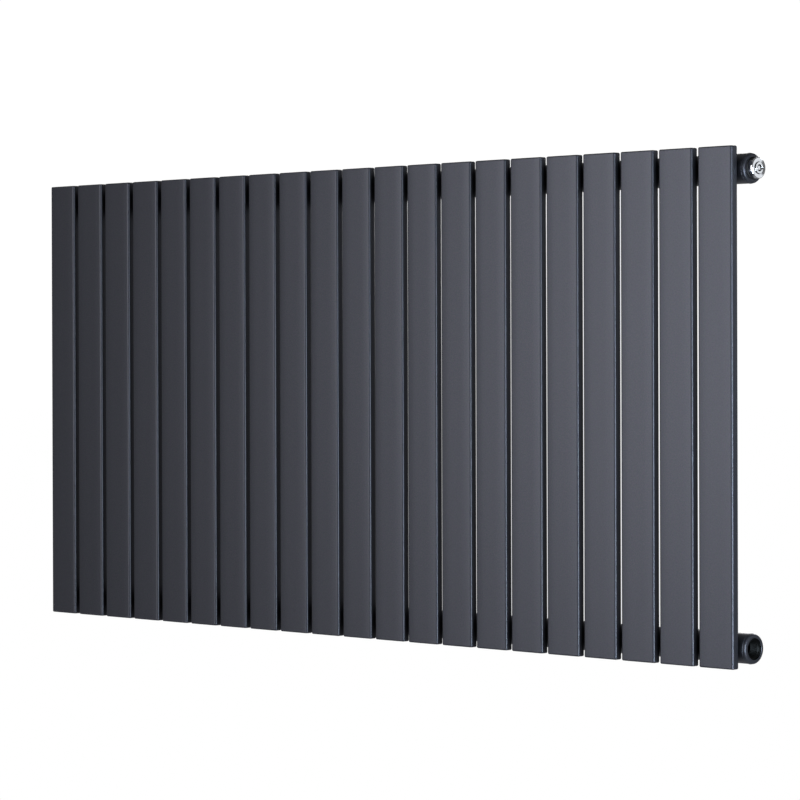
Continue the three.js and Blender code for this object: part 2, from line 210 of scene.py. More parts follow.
def makeNylon(spec):
    # glass-filled nylon 66, injection moulded: near black, with a fine spark-eroded pebble
    # the real pebble is about 0.1 mm, so it is drawn at 0.6 mm
    material, tree, shader, place = newMaterial("mouldedNylon")
    pebble = addNode(tree, "ShaderNodeTexNoise", Vector=place, Scale=perMetre(spec["pebbleMm"]), Detail=3.0)
    tone = addNode(tree, "ShaderNodeMix", {"data_type": "RGBA", "blend_type": "MIX"},
                   n0=pebble.outputs["Fac"], n6=hexToLinear(spec["dark"]), n7=hexToLinear(spec["light"]))
    tree.links.new(tone.outputs[2], shader.inputs["Base Color"])
    gloss = addNode(tree, "ShaderNodeMapRange", Value=pebble.outputs["Fac"],
                    To_Min=spec["roughness"] - 0.06, To_Max=spec["roughness"] + 0.08)
    tree.links.new(gloss.outputs["Result"], shader.inputs["Roughness"])
    bump = addNode(tree, "ShaderNodeBump", Strength=0.4, Distance=0.03 * mm, Height=pebble.outputs["Fac"])
    tree.links.new(bump.outputs["Normal"], shader.inputs["Normal"])
    shader.inputs["IOR"].default_value = 1.53
    return material


rubberSpec = {"dark": "#0d0d0e", "bloom": "#1b1b1c", "roughness": 0.62, "bloomMm": 2.0}


def makeRubber(spec):
    # moulded EPDM: matt black with a trace of grey bloom
    material, tree, shader, place = newMaterial("mouldedEpdm")
    bloom = addNode(tree, "ShaderNodeTexNoise", Vector=place, Scale=perMetre(spec["bloomMm"]), Detail=5.0)
    tone = addNode(tree, "ShaderNodeMix", {"data_type": "RGBA", "blend_type": "MIX"},
                   n0=bloom.outputs["Fac"], n6=hexToLinear(spec["dark"]), n7=hexToLinear(spec["bloom"]))
    tree.links.new(tone.outputs[2], shader.inputs["Base Color"])
    gloss = addNode(tree, "ShaderNodeMapRange", Value=bloom.outputs["Fac"],
                    To_Min=spec["roughness"] - 0.05, To_Max=spec["roughness"] + 0.1)
    tree.links.new(gloss.outputs["Result"], shader.inputs["Roughness"])
    bump = addNode(tree, "ShaderNodeBump", Strength=0.3, Distance=0.03 * mm, Height=bloom.outputs["Fac"])
    tree.links.new(bump.outputs["Normal"], shader.inputs["Normal"])
    shader.inputs["IOR"].default_value = 1.52
    return material


powderCoat = makePowderCoat(powderCoatSpec)
chromedBrass = makeChromedBrass(chromeSpec)
boreShadeSteel = makeBoreShadeSteel(boreShadeSteelSpec)
zincPlate = makeZincPlate(zincSpec)
nylon = makeNylon(nylonSpec)
rubber = makeRubber(rubberSpec)


def faceOut(mesh):
    # turns every face's front to the outside
    work = bmesh.new()
    work.from_mesh(mesh)
    bmesh.ops.recalc_face_normals(work, faces=work.faces)
    work.to_mesh(mesh)
    work.free()


def meshPiece(name, points, faces, material, body, replaced=(), sharpAngle=None):
    mesh = bpy.data.meshes.new(name)
    mesh.from_pydata([tuple(p) for p in points], [], faces)
    faceOut(mesh)
    mesh.materials.append(material)
    piece = bpy.data.objects.new(name, mesh)
    scene.collection.objects.link(piece)
    mesh.shade_smooth()
    if sharpAngle:
        mesh.set_sharp_from_angle(angle=math.radians(sharpAngle))
    evenShading = piece.modifiers.new("evenShading", "WEIGHTED_NORMAL")
    evenShading.keep_sharp = True
    evenShading.weight = 100
    return placePiece(piece, body, replaced)


def placePiece(piece, body, replaced):
    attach(piece, body)
    if replaced:
        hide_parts(*replaced)
    return piece


def loft(rings, closedLoop=False, capped=True):
    # joins rings of equal length; closedLoop joins the last to the first, capped closes both ends
    points = [p for ring in rings for p in ring]
    count = len(rings[0])
    steps = len(rings) if closedLoop else len(rings) - 1
    faces = []
    for k in range(steps):
        near = k * count
        far = ((k + 1) % len(rings)) * count
        faces += [(near + i, near + (i + 1) % count, far + (i + 1) % count, far + i) for i in range(count)]
    if capped and not closedLoop:
        faces.append(tuple(range(count - 1, -1, -1)))
        faces.append(tuple(range((len(rings) - 1) * count, len(rings) * count)))
    return points, faces


def joinParts(parts):
    # several (points, faces) as one
    points, faces = [], []
    for partPoints, partFaces in parts:
        start = len(points)
        points += partPoints
        faces += [tuple(start + i for i in face) for face in partFaces]
    return points, faces


def arcPoints(centre, radius, fromDegrees, toDegrees, steps):
    angles = [math.radians(fromDegrees + (toDegrees - fromDegrees) * i / steps) for i in range(steps + 1)]
    return [(centre[0] + radius * math.cos(a), centre[1] + radius * math.sin(a)) for a in angles]


def roundRectangle(halfX, halfY, radius, steps):
    corners = [(halfX - radius, radius - halfY, -90), (halfX - radius, halfY - radius, 0),
               (radius - halfX, halfY - radius, 90), (radius - halfX, radius - halfY, 180)]
    return [p for x, y, start in corners for p in arcPoints((x, y), radius, start, start + 90, steps)]


def polygonOutline(sides, acrossFlats, corner, turn, steps=120):
    # a regular polygon with its corners turned back to a radius, as points at even angles about its middle
    points = []
    for i in range(steps):
        angle = 2 * math.pi * i / steps
        fromFlat = (angle - math.radians(turn)) % (2 * math.pi / sides) - math.pi / sides
        reach = min(corner, acrossFlats / 2 / math.cos(fromFlat))
        points.append((reach * math.cos(angle), reach * math.sin(angle)))
    return points


def alongX(centre, side, profile, outline=None, sides=96, thread=None):
    # rings round an axis along X. profile is [distance outwards, radius, thread weight, round] in metres.
    # outline, if given, limits each ring to a shape unless the ring is round; thread is (pitch, depth)
    if outline:
        directions = [Vector(p) for p in outline]
    else:
        directions = [Vector((math.cos(2 * math.pi * i / sides), math.sin(2 * math.pi * i / sides)))
                      for i in range(sides)]
    rings = []
    for entry in profile:
        out, radius = entry[0], entry[1]
        weight = entry[2] if len(entry) > 2 else 0
        limited = outline and len(entry) < 4
        ring = []
        for direction in directions:
            reach = min(radius, direction.length) if limited else radius
            if weight:
                turn = math.atan2(direction.y, direction.x) / (2 * math.pi)
                phase = (out / thread[0] + turn) % 1
                reach += weight * thread[1] * (0.5 - 0.5 * math.cos(2 * math.pi * phase)) ** 0.8
            p = direction.normalized() * reach
            ring.append(Vector((centre[0] + side * out, centre[1] + side * p.x, centre[2] + p.y)))
        rings.append(ring)
    return rings


beadSpec = {"ripple": 0.07, "rippleTurn": 2.1, "wander": 0.06, "wanderStep": 0.37}


def bead(path, radii, sides=10, closed=True, normalAxis=Vector((0, 1, 0)), seed=0.0):
    # a weld bead along a path: a tube whose thickness ripples as the puddle froze
    rings = []
    count = len(path)
    for i, p in enumerate(path):
        ahead = path[(i + 1) % count] if closed or i < count - 1 else p
        behind = path[i - 1] if closed or i > 0 else p
        along = (ahead - behind).normalized()
        sideways = along.cross(normalAxis).normalized()
        over = sideways.cross(along).normalized()
        wander = noise.noise(Vector((i * beadSpec["wanderStep"], seed, 0.0)))
        ripple = 1 + beadSpec["ripple"] * math.sin(i * beadSpec["rippleTurn"]) + beadSpec["wander"] * wander
        radius = radii[i] * ripple
        rings.append([p + radius * (math.cos(t) * sideways + math.sin(t) * over)
                      for t in (2 * math.pi * k / sides for k in range(sides))])
    return loft(rings, closedLoop=closed)


def flatMesh(outline, holes, thickness, bevel, matrix):
    # a blank cut from sheet, with its edges broken all round, laid by a matrix from its own flat drawing
    curve = bpy.data.curves.new("flatDrawing", "CURVE")
    curve.dimensions = "2D"
    curve.fill_mode = "BOTH"
    for loop in [outline, *holes]:
        spline = curve.splines.new("POLY")
        spline.points.add(len(loop) - 1)
        for point, (x, y) in zip(spline.points, loop):
            point.co = (x, y, 0, 1)
        spline.use_cyclic_u = True
    curve.extrude = thickness / 2 - bevel
    curve.bevel_depth = bevel
    curve.bevel_resolution = 2
    curve.offset = -bevel
    drawing = bpy.data.objects.new("flatDrawing", curve)
    scene.collection.objects.link(drawing)
    bpy.context.view_layer.update()
    drawn = drawing.evaluated_get(bpy.context.evaluated_depsgraph_get())
    mesh = bpy.data.meshes.new_from_object(drawn)
    bpy.data.objects.remove(drawing)
    mesh.transform(matrix)
    return mesh


def joinedPiece(name, meshes, material, body, replaced=(), sharpAngle=50):
    # several closed meshes as one piece
    work = bmesh.new()
    for mesh in meshes:
        work.from_mesh(mesh)
    bmesh.ops.remove_doubles(work, verts=work.verts, dist=0.00001)
    points = [v.co.copy() for v in work.verts]
    faces = [tuple(v.index for v in face.verts) for face in work.faces]
    work.free()
    return meshPiece(name, points, faces, material, body, replaced, sharpAngle)


def circle(centre, radius, steps=40):
    return arcPoints(centre, radius, 0, 360 - 360 / steps, steps - 1)


panelSpec = {
    "cornerRadius": 3.0 * mm, "endRadius": 1.8 * mm, "cornerSteps": 8, "endSteps": 6,
    "leastRadius": 0.4 * mm, "crown": 0.28 * mm, "crownShare": 0.5, "crownSteps": 6,
}


def tubeOutline(halfX, halfY, radius, spec):
    # a rolled flat tube: round corners, and broad sides that fall away a little towards them
    flat = halfX - radius
    inner = flat * (1 - spec["crownShare"])

    def drop(x):
        return spec["crown"] * (max(0, abs(x) - inner) / (flat - inner)) ** 2

    points = []
    for side in (1, -1):
        steps = 2 * spec["crownSteps"]
        across = [side * flat * (2 * i / steps - 1) for i in range(1, steps)]
        points += [(x, side * -1 * (halfY - drop(x))) for x in across]
        corner = (side * flat, side * (radius + spec["crown"] - halfY))
        arc = arcPoints(corner, radius, -90 if side > 0 else 90, 0 if side > 0 else 180, spec["cornerSteps"])
        points += arc
        corner = (side * flat, side * (halfY - radius - spec["crown"]))
        arc = arcPoints(corner, radius, 0 if side > 0 else 180, 90 if side > 0 else 270, spec["cornerSteps"])
        points += arc
    return points


def panelRings(low, high, spec):
    middle = (low + high) / 2
    half = (high - low) / 2
    rings = []
    for end in (-1, 1):
        levels = []
        for i in range(spec["endSteps"] + 1):
            angle = math.pi / 2 * i / spec["endSteps"]
            inset = spec["endRadius"] * (1 - math.sin(angle))
            drop = spec["endRadius"] * (1 - math.cos(angle))
            radius = max(spec["cornerRadius"] - inset, spec["leastRadius"])
            z = middle.z + end * (half.z - drop)
            outline = tubeOutline(half.x - inset, half.y - inset, radius, spec)
            levels.append([Vector((middle.x + x, middle.y + y, z)) for x, y in outline])
        rings += levels if end < 0 else levels[::-1]
    return rings


def buildPanels(spec):
    names = sorted(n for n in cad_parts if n.startswith("panel_"))
    for name in names:
        low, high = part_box(name)
        points, faces = loft(panelRings(low, high, spec))
        meshPiece("flatTube_" + name[-2:], points, faces, powderCoat, "radiator", [name])
    return names


panelNames = buildPanels(panelSpec)
print("panels built:", len(panelNames))


headerSpec = {"wall": 1.5 * mm, "sides": 128, "lip": 0.3 * mm}


def headerAxis(level):
    low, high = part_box("header_" + level)
    radius = (high.z - low.z) / 2
    return low.x, high.x, high.y - radius, (low.z + high.z) / 2, radius


def buildHeader(level, spec):
    fromX, toX, y, z, radius = headerAxis(level)
    inner = radius - spec["wall"]
    lip = spec["lip"]
    half = (toX - fromX) / 2
    profile = [(-half, inner), (half, inner), (half, radius - lip), (half - lip, radius),
               (lip - half, radius), (-half, radius - lip)]
    rings = alongX(((fromX + toX) / 2, y, z), 1, profile, sides=spec["sides"])
    points, faces = loft(rings, closedLoop=True)
    return meshPiece("collectorTube_" + level, points, faces, powderCoat, "radiator", ["header_" + level],
                     sharpAngle=40)


headers = {level: buildHeader(level, headerSpec) for level in ("top", "bottom")}
print("headers built:", len(headers))


bushSpec = {
    "flange": 4.7 * mm, "rim": 3.0 * mm, "recessRadius": 12.6 * mm, "recessDepth": 2.5 * mm,
    "bore": 9.315 * mm, "mouthChamfer": 0.9 * mm, "edge": 0.35 * mm,
    "threadPitch": 1.814 * mm, "threadDepth": 1.16 * mm, "threadFade": 0.06, "turnSamples": 12,
    "spigotGap": 0.3 * mm, "darkSteelMargin": 0.1 * mm,
}


def bushProfile(length, outer, spec):
    edge = spec["edge"]
    floor = -spec["recessDepth"]
    mouth = floor - spec["mouthChamfer"]
    spigot = outer - headerSpec["wall"] - spec["spigotGap"]
    profile = []
    turns = (length + mouth) / spec["threadPitch"]
    samples = int(turns * spec["turnSamples"])
    for i in range(samples + 1):
        share = i / samples
        fade = min(1, share / spec["threadFade"], (1 - share) / spec["threadFade"])
        profile.append((-length + share * (length + mouth), spec["bore"], fade))
    profile.append((floor, spec["bore"] + spec["mouthChamfer"]))
    profile.append((floor, spec["recessRadius"] - edge))
    profile.append((floor + edge, spec["recessRadius"]))
    profile.append((-edge, spec["recessRadius"]))
    profile.append((0, spec["recessRadius"] + edge))
    profile += arcPoints((-spec["rim"], outer - spec["rim"]), spec["rim"], 0, 90, 8)
    profile += [(-spec["flange"], outer), (-spec["flange"], spigot), (-length, spigot)]
    return profile


def endFace(place):
    # the middle of a bush's outer face, the way it points along X, and its outer radius
    low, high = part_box("port_bush_" + place)
    side = -1 if place.endswith("left") else 1
    x = low.x if side < 0 else high.x
    radius = (high.z - low.z) / 2
    return Vector((x, (low.y + high.y) / 2, (low.z + high.z) / 2)), side, radius, high.x - low.x


def buildBush(place, spec):
    centre, side, outer, length = endFace(place)
    rings = alongX(centre, side, bushProfile(length, outer, spec), sides=120,
                   thread=(spec["threadPitch"], spec["threadDepth"]))
    points, faces = loft(rings, closedLoop=True)
    bush = meshPiece("endBush_" + place, points, faces, powderCoat, "radiator", ["port_bush_" + place],
                     sharpAngle=38)
    bush.data.materials.append(boreShadeSteel)
    darkSteelRadius = spec["recessRadius"] + spec["darkSteelMargin"]
    for polygon in bush.data.polygons:
        middle = polygon.center
        inside = math.hypot(middle.y - centre.y, middle.z - centre.z) < darkSteelRadius
        if inside and side * (centre.x - middle.x) > spec["edge"]:
            # painted shade: the recess and bore take the near-black steel, which paints the shade inside the
            # bore
            polygon.material_index = 1    # the thread and the seal's seat were masked from the powder


for place in places:
    buildBush(place, bushSpec)
print("end bushes built")


weldSpec = {
    "neckReach": 9.4 * mm, "neckRadius": 8.0 * mm, "neckWall": 1.5 * mm,
    "neckSides": 32, "neckInPanel": 0.2 * mm, "neckInHeader": 0.8, "weldOverlap": 0.65 * mm,
    "seamRadius": 0.8 * mm, "seamSink": 0.45 * mm, "seamGap": 0.15 * mm,
    "filletRadius": 1.5 * mm, "steps": 72,
}


def neckAndWeld(x, level, spec):
    # the short water neck from a header into a panel's back, and the weld that closes the joint round it
    _, _, y, z, radius = headerAxis(level)
    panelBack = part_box(panelNames[0])[1].y
    steps = spec["steps"]
    path, radii = [], []
    for i in range(steps):
        angle = 2 * math.pi * i / steps
        across = spec["neckReach"] * math.cos(angle)
        rise = spec["neckReach"] * math.sin(angle)
        headerFace = y - math.sqrt(radius ** 2 - rise ** 2)
        path.append(Vector((x + across, (headerFace + panelBack) / 2, z + rise)))
        radii.append((headerFace - panelBack) / 2 + spec["weldOverlap"])
    weld = bead(path, radii, seed=x)
    inner = spec["neckRadius"] - spec["neckWall"]
    front = panelBack - spec["neckInPanel"]
    back = y - radius * spec["neckInHeader"]
    angles = [2 * math.pi * k / spec["neckSides"] for k in range(spec["neckSides"])]
    rings = []
    outer = spec["neckRadius"]
    for reach, depth in [(outer, front), (outer, back), (inner, back), (inner, front)]:
        rings.append([Vector((x + reach * math.cos(a), depth, z + reach * math.sin(a))) for a in angles])
    return [weld, loft(rings, closedLoop=True)]


def buildNecks(level, spec):
    parts = []
    for name in panelNames:
        low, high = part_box(name)
        parts += neckAndWeld((low.x + high.x) / 2, level, spec)
    points, faces = joinParts(parts)
    meshPiece("neckWelds_" + level, points, faces, powderCoat, "radiator", sharpAngle=60)


def buildSeam(place, spec):
    # the dressed weld where a bush meets its header
    centre, side, radius, _ = endFace(place)
    x = centre.x - side * (bushSpec["flange"] + spec["seamGap"])
    path = []
    for i in range(2 * spec["steps"]):
        angle = math.pi * i / spec["steps"]
        reach = radius - spec["seamSink"]
        path.append(Vector((x, centre.y + reach * math.cos(angle), centre.z + reach * math.sin(angle))))
    points, faces = bead(path, [spec["seamRadius"]] * len(path), normalAxis=Vector((1, 0, 0)), seed=x)
    meshPiece("seamWeld_" + place, points, faces, powderCoat, "radiator", sharpAngle=60)


for level in headers:
    buildNecks(level, weldSpec)
for place in places:
    buildSeam(place, weldSpec)
print("necks and welds built")


plugSpec = {
    "acrossFlats": 22 * mm, "turn": 18, "seat": 1.1 * mm, "face": 8.1 * mm,
    "capRadius": 12.4 * mm, "capLength": 2.4 * mm, "capChamfer": 0.8 * mm, "edge": 0.15 * mm,
    "dish": 0.35 * mm, "shankRadius": 9.015 * mm, "shankEnd": -11.5 * mm, "leadIn": 0.6 * mm,
    "neckEnd": -4.2 * mm, "threadDepth": 1.1 * mm, "threadFade": 0.08,
}
ventSpec = {
    "pocketRadius": 7.1 * mm, "pocketFloor": 4.1 * mm, "stemBore": 2.3 * mm,
    "discRadius": 6.8 * mm, "discEye": 3.886 * mm, "discBack": 4.4 * mm, "discFace": 8.9 * mm,
    "notchRadius": 1.7 * mm, "notchReach": 6.3 * mm, "discEdge": 0.35 * mm,
    "square": 5 * mm, "squareEdge": 0.35 * mm, "cornerShare": 1.33, "screwFace": 8.0 * mm,
    "bevelStart": 0.3 * mm, "bevelShare": 1.16, "faceInset": 0.4,
    "stemRadius": 2 * mm, "stemEnd": -4.6 * mm, "coneLength": 1.6 * mm, "coneTip": 0.35 * mm,
}


def plugOutline(spec):
    return polygonOutline(6, spec["acrossFlats"], spec["capRadius"], spec["turn"])


def plugOutside(spec):
    # from the shank's end to the rim of the face: thread, seat, hexagon with turned corners, round cap
    edge = spec["edge"]
    profile = [(spec["shankEnd"], spec["shankRadius"] - spec["leadIn"])]
    start = spec["shankEnd"] + spec["leadIn"]
    samples = int((spec["neckEnd"] - start) / bushSpec["threadPitch"] * bushSpec["turnSamples"])
    for i in range(samples + 1):
        share = i / samples
        fade = min(1, share / spec["threadFade"], (1 - share) / spec["threadFade"])
        profile.append((start + share * (spec["neckEnd"] - start), spec["shankRadius"], fade))
    profile.append((spec["seat"], spec["shankRadius"]))
    cap = spec["capRadius"]
    capBack = spec["face"] - spec["capLength"]
    profile += [(spec["seat"], spec["acrossFlats"] / 2 - edge), (spec["seat"] + edge * 3, cap),
                (capBack, cap)]
    for out, reach in [(capBack, cap - edge), (capBack + edge, cap), (spec["face"] - spec["capChamfer"], cap),
                       (spec["face"], cap - spec["capChamfer"])]:
        profile.append((out, reach, 0, True))
    return profile


def buildVentBody(plug, spec):
    centre, side, _, _ = endFace("top_right")
    profile = plugOutside(plug)
    edge = plug["edge"]
    profile += [
        (plug["face"] - plug["dish"], spec["pocketRadius"] + edge),
        (plug["face"] - plug["dish"] - edge, spec["pocketRadius"]),
        (spec["pocketFloor"], spec["pocketRadius"]), (spec["pocketFloor"], spec["stemBore"] + edge),
        (spec["pocketFloor"] - edge, spec["stemBore"]), (plug["shankEnd"], spec["stemBore"]),
    ]
    rings = alongX(centre, side, profile, outline=plugOutline(plug),
                   thread=(bushSpec["threadPitch"], plug["threadDepth"]))
    points, faces = loft(rings, closedLoop=True)
    meshPiece("ventBody", points, faces, chromedBrass, "radiator", ["vent_body"], sharpAngle=24)


def acrossX(centre):
    # lays a flat drawing across the X axis, its x towards the wall and its y up
    return Matrix(((0, 0, 1, centre.x), (1, 0, 0, centre.y), (0, 1, 0, centre.z), (0, 0, 0, 1)))


def buildOutletDisc(spec):
    centre, _, _, _ = endFace("top_right")
    middle = centre + Vector(((spec["discBack"] + spec["discFace"]) / 2, 0, 0))
    radius, reach, notch = spec["discRadius"], spec["notchReach"], spec["notchRadius"]
    meetX = (radius ** 2 + reach ** 2 - notch ** 2) / (2 * reach)
    meetY = math.sqrt(radius ** 2 - meetX ** 2)
    start = math.degrees(math.atan2(meetY, meetX))
    end = math.degrees(math.atan2(meetY, meetX - reach))
    outline = arcPoints((0, 0), radius, start, 360 - start, 88)
    outline += arcPoints((reach, 0), notch, 360 - end, end, 24)[1:-1]
    mesh = flatMesh(outline, [circle((0, 0), spec["discEye"], 72)], spec["discFace"] - spec["discBack"],
                    spec["discEdge"], acrossX(middle))
    joinedPiece("ventOutletDisc", [mesh], chromedBrass, "vent_outlet", ["vent_outlet_disc"])


def buildBleedScrew(spec):
    centre, side, _, _ = endFace("top_right")
    half = spec["square"] / 2
    edge = spec["squareEdge"]
    face = spec["screwFace"]
    back = spec["discBack"]
    corner = half * spec["cornerShare"]    # its corners are broken a little
    stemEnd = spec["stemEnd"]
    profile = [(stemEnd, spec["coneTip"]), (stemEnd + spec["coneLength"], spec["stemRadius"]),
               (back, spec["stemRadius"]), (back, corner)]
    profile += [(face - edge - spec["bevelStart"], corner), (face - edge, half * spec["bevelShare"]),
                (face, half - edge * spec["faceInset"])]
    rings = alongX(centre, side, profile, outline=polygonOutline(4, spec["square"], corner, 45))
    points, faces = loft(rings)
    meshPiece("bleedScrew", points, faces, chromedBrass, "bleed_screw", ["bleed_screw"], sharpAngle=28)


plugFaceSpec = {"dishRadius": 7.4 * mm, "dishDepth": 0.7 * mm, "dishEdge": 0.4 * mm, "centre": 0.2 * mm}


def buildBlankingPlug(plug, spec):
    # the same hexagon as the vent, with a shallow dish turned in its face
    centre, side, _, _ = endFace("top_left")
    profile = plugOutside(plug)
    face = plug["face"]
    profile += [(face, spec["dishRadius"]), (face - spec["dishDepth"], spec["dishRadius"] - spec["dishEdge"]),
                (face - spec["dishDepth"], spec["centre"])]
    rings = alongX(centre, side, profile, outline=plugOutline(plug),
                   thread=(bushSpec["threadPitch"], plug["threadDepth"]))
    points, faces = loft(rings)
    meshPiece("blankingPlug", points, faces, chromedBrass, "radiator", ["blanking_plug"], sharpAngle=24)


sealSpec = {"section": 1.5 * mm, "ringRadius": 10.815 * mm, "middle": -0.7 * mm, "flash": 0.08 * mm}


def buildSeal(name, node, place, spec):
    # an O-ring with the fine flash line that its mould leaves inside and out
    centre, side, _, _ = endFace(place)
    profile = []
    for i in range(32):
        angle = 2 * math.pi * i / 32
        section = spec["section"] + (spec["flash"] if i in (8, 24) else 0)
        profile.append((spec["middle"] + section * math.cos(angle),
                        spec["ringRadius"] + section * math.sin(angle)))
    points, faces = loft(alongX(centre, side, profile, sides=96), closedLoop=True)
    meshPiece(name, points, faces, rubber, "radiator", [node])


buildVentBody(plugSpec, ventSpec)
buildOutletDisc(ventSpec)
buildBleedScrew(ventSpec)
buildBlankingPlug(plugSpec, plugFaceSpec)
buildSeal("ventSeal", "vent_seal", "top_right", sealSpec)
buildSeal("blankingPlugSeal", "blanking_plug_seal", "top_left", sealSpec)
print("vent, plug and seals built")


lugSpec = {
    "slotRadius": 6.3 * mm, "seatGap": 0.3 * mm, "edge": 0.4 * mm, "cornerRadius": 1.5 * mm,
    "toeRadius": 0.7 * mm, "weldSteps": 24, "weldShort": 2, "weldProud": 0.2 * mm,
    "taperStart": 0.45, "taperStep": 0.3,
}


def buildLug(place, spec):
    # a cut steel lug, hooked over the bracket's sleeve and welded to the header's back
    low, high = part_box("hanging_lug_" + place)
    sleeveLow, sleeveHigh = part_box("bracket_sleeve_" + place)
    _, _, headerY, headerZ, headerRadius = headerAxis(place.split("_")[0])
    seat = headerRadius + spec["seatGap"]
    half = (high.z - low.z) / 2
    slotX = (sleeveLow.y + sleeveHigh.y) / 2 - headerY
    endX = high.y - headerY
    seatAngle = math.degrees(math.asin(half / seat))    # where the lug's edges leave the header
    corner = spec["cornerRadius"]
    slot = spec["slotRadius"]
    toe = spec["toeRadius"]
    outline = arcPoints((0, 0), seat, -seatAngle, seatAngle, 24)
    outline += arcPoints((endX - corner, half - corner), corner, 90, 0, 6)
    outline += arcPoints((endX - toe, toe - half), toe, 0, -90, 4)
    outline += [(slotX + slot, -half)]
    outline += arcPoints((slotX, 0), slot, 0, 180, 28)
    outline += [(slotX - slot, -half)]
    middle = Vector(((low.x + high.x) / 2, headerY, headerZ))
    mesh = flatMesh(outline, [], high.x - low.x, spec["edge"], acrossX(middle))
    joinedPiece("hangingLug_" + place, [mesh], powderCoat, "radiator", ["hanging_lug_" + place])
    parts = []
    steps = spec["weldSteps"]
    reach = headerRadius + spec["weldProud"]
    for side in (-1, 1):
        path = []
        for i in range(steps + 1):
            angle = math.radians((seatAngle - spec["weldShort"]) * (2 * i / steps - 1))
            path.append(Vector((middle.x + side * (high.x - low.x) / 2,
                                headerY + reach * math.cos(angle), headerZ + reach * math.sin(angle))))
        taper = [weldSpec["filletRadius"] * min(1, spec["taperStart"] + spec["taperStep"] * min(i, steps - i))
                 for i in range(steps + 1)]
        parts.append(bead(path, taper, closed=False, normalAxis=Vector((1, 0, 0)), seed=side + middle.x))
    points, faces = joinParts(parts)
    meshPiece("lugWelds_" + place, points, faces, powderCoat, "radiator", sharpAngle=60)


bracketSpec = {
    "plateCorner": 4 * mm, "edge": 0.4 * mm, "screwHole": 3.25 * mm, "screwSpacing": 40 * mm,
    "earThickness": 3 * mm, "plateThickness": 3 * mm, "earGap": 7 * mm, "earCorner": 6 * mm,
    "boltHole": 4.3 * mm, "earInPlate": 0.4, "rootRadius": 1.1 * mm, "rootShort": 2 * mm, "rootSteps": 20,
    "taperStart": 0.5, "taperStep": 0.25,
}


def buildBracket(place, spec):
    # a pressed plate with two ears welded on
    low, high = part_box("wall_bracket_" + place)
    middleX = (low.x + high.x) / 2
    boltLow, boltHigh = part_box("bracket_bolt_" + place)
    boltY = (boltLow.y + boltHigh.y) / 2
    boltZ = (boltLow.z + boltHigh.z) / 2
    halfHeight = (high.z - low.z) / 2
    thickness = spec["plateThickness"]
    plate = flatMesh(
        roundRectangle((high.x - low.x) / 2, halfHeight, spec["plateCorner"], 10),
        [circle((side * spec["screwSpacing"] / 2, 0), spec["screwHole"]) for side in (-1, 1)],
        thickness, spec["edge"],
        Matrix(((1, 0, 0, middleX), (0, 0, -1, high.y - thickness / 2), (0, 1, 0, boltZ), (0, 0, 0, 1))))
    meshes = [plate]
    frontX = low.y - boltY
    backX = high.y - thickness * (1 - spec["earInPlate"]) - boltY
    corner = spec["earCorner"]
    outline = arcPoints((frontX + corner, corner - halfHeight), corner, 270, 180, 12)
    outline += arcPoints((frontX + corner, halfHeight - corner), corner, 180, 90, 12)
    outline += [(backX, halfHeight), (backX, -halfHeight)]
    for side in (-1, 1):
        x = middleX + side * (spec["earGap"] + spec["earThickness"]) / 2
        meshes.append(flatMesh(outline, [circle((0, 0), spec["boltHole"])], spec["earThickness"],
                               spec["edge"], acrossX(Vector((x, boltY, boltZ)))))
    joinedPiece("wallBracket_" + place, meshes, powderCoat, "wall_fixing", ["wall_bracket_" + place])


def buildRootWelds(place, spec):
    low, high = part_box("wall_bracket_" + place)
    middleX = (low.x + high.x) / 2
    middleZ = (low.z + high.z) / 2
    steps = spec["rootSteps"]
    parts = []
    for side in (-1, 1):
        x = middleX + side * (spec["earGap"] / 2 + spec["earThickness"])
        reach = (high.z - low.z) / 2 - spec["rootShort"]
        path = [Vector((x, high.y - spec["plateThickness"], middleZ + reach * (2 * i / steps - 1)))
                for i in range(steps + 1)]
        taper = [spec["rootRadius"] * min(1, spec["taperStart"] + spec["taperStep"] * min(i, steps - i))
                 for i in range(steps + 1)]
        parts.append(bead(path, taper, closed=False, normalAxis=Vector((1, 0, 0)), seed=x))
    points, faces = joinParts(parts)
    meshPiece("bracketWelds_" + place, points, faces, powderCoat, "wall_fixing", sharpAngle=60)


boltSpec = {
    "acrossFlats": 13 * mm, "cornerReach": 7.4 * mm, "headLength": 5.3 * mm, "washerFace": 6.1 * mm,
    "radius": 4 * mm, "threadPitch": 1.25 * mm, "threadDepth": 0.6 * mm, "threadLength": 14 * mm,
    "chamferAngle": 30, "chamferSteps": 6, "crownRadius": 5.9 * mm, "nutBore": 4.3 * mm,
    "headEdge": 0.3 * mm, "headDish": 0.25 * mm, "dishRim": 0.9 * mm, "centre": 0.3 * mm,
    "fillet": 0.1 * mm, "threadFade": 0.05, "turnSamples": 10, "threadEnd": 0.5 * mm,
    "nutWasher": 0.9 * mm, "boreChamfer": 0.6 * mm,
}


def hexProfile(face, back, spec):
    # a hexagon's outside from its chamfered face down to its other side, going inwards
    cornerReach = spec["acrossFlats"] / math.sqrt(3)
    slope = math.tan(math.radians(spec["chamferAngle"]))
    profile = []
    steps = spec["chamferSteps"]
    for i in range(steps + 1):
        reach = spec["crownRadius"] + (cornerReach - spec["crownRadius"]) * i / steps
        profile.append((face - (reach - spec["crownRadius"]) * slope, reach))
    profile.append((back, cornerReach))
    return profile


def boltOutline(spec):
    return polygonOutline(6, spec["acrossFlats"], spec["cornerReach"], 0)


